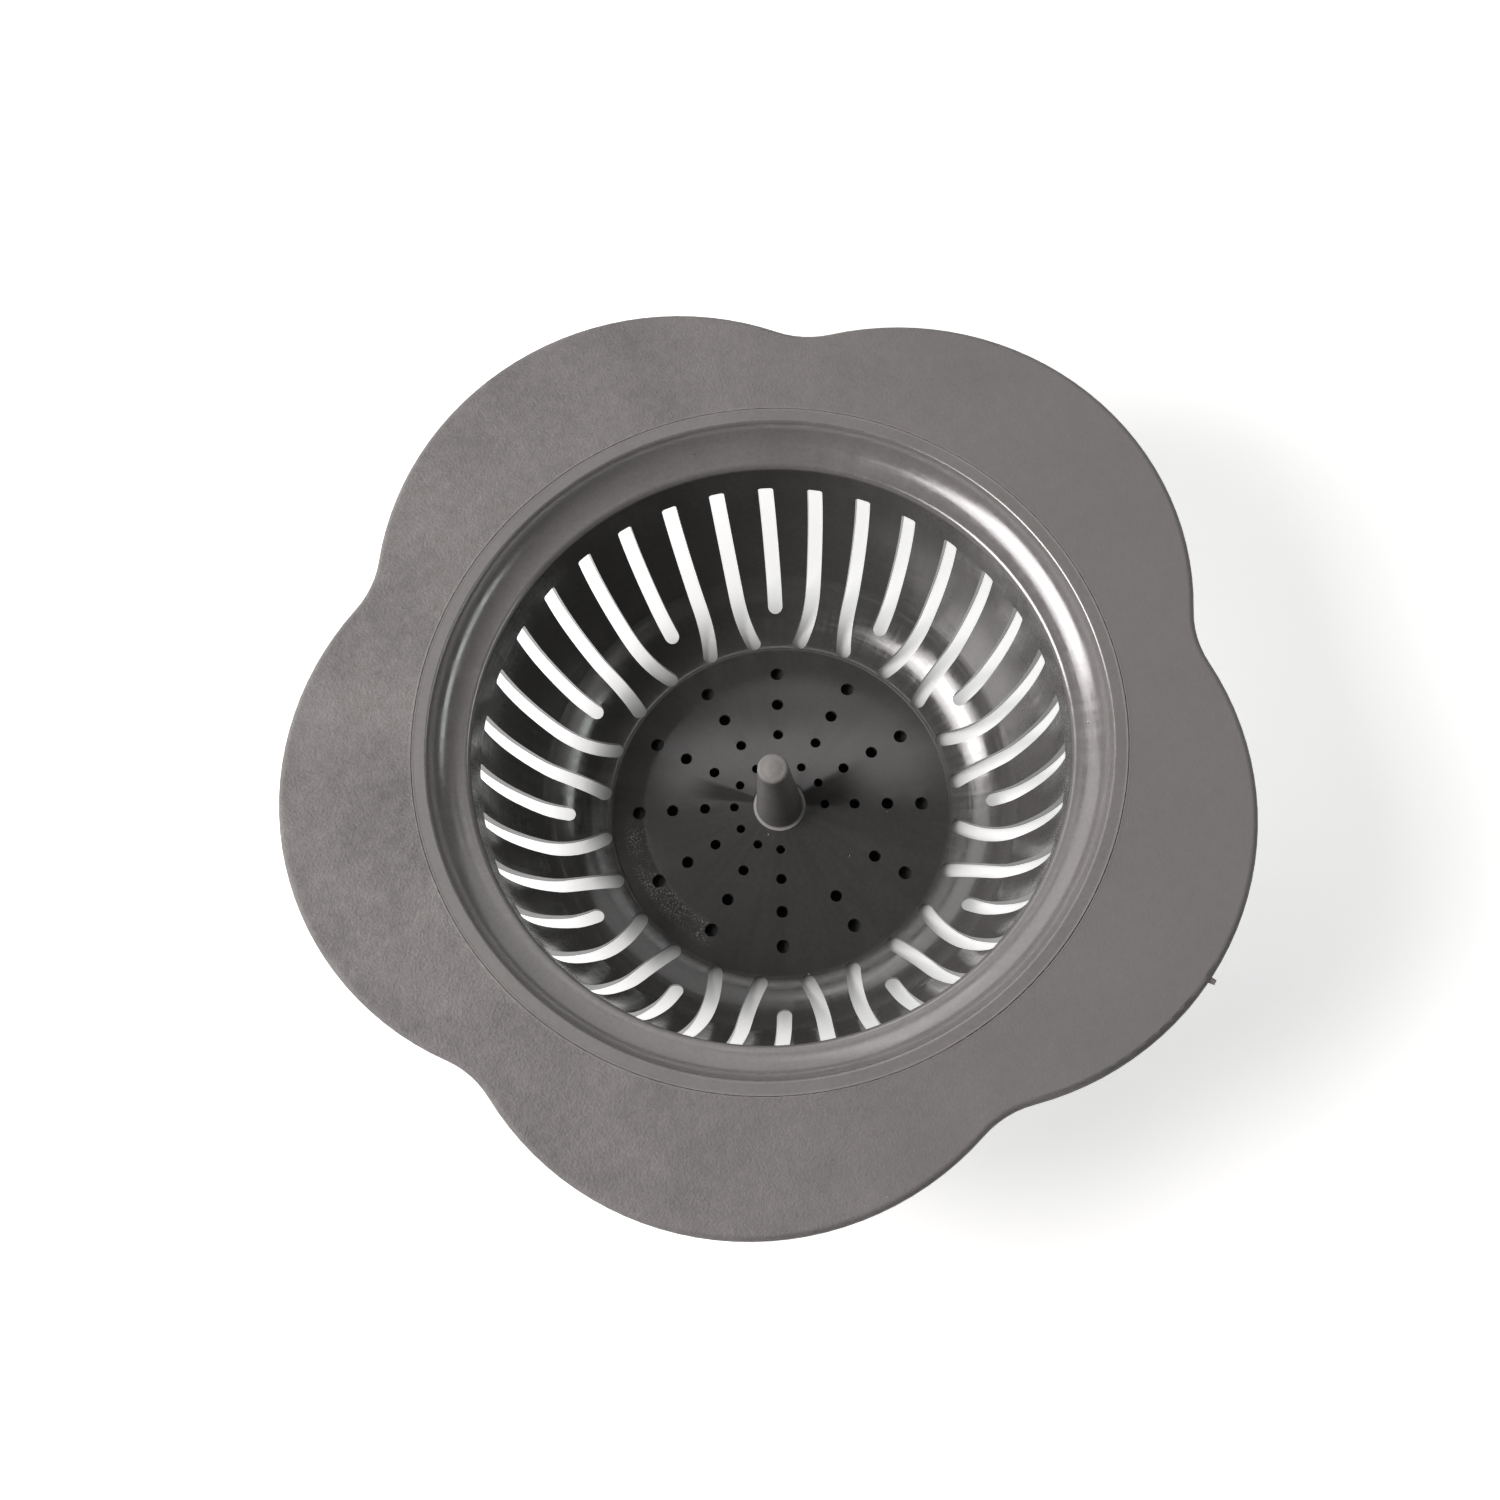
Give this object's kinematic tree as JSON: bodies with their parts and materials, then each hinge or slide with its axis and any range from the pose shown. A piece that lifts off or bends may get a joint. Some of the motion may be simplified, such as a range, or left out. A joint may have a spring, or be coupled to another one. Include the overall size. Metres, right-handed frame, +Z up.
{
  "type": "sink strainer",
  "caption": "Drop-in sink strainer: flat petal-shaped flange round a tapered slotted basket with a perforated domed floor and a central lift post; it catches food scraps in a drain.",
  "frame": {"origin": "on the drain's axis, in the plane of the flange's underside, which seats on the sink", "axes": "+Z up out of the drain, +Y through the middle of one petal"},
  "size_m": [0.1122, 0.1101, 0.0308],
  "materials": {
    "flange": "matt, finely textured grey",
    "basket": "smooth satin grey",
    "post": "smooth satin grey"
  },
  "bodies": {
    "root": {"petal_flange": "flange", "basket": "basket", "lift_post": "post"}
  },
  "joints": []
}
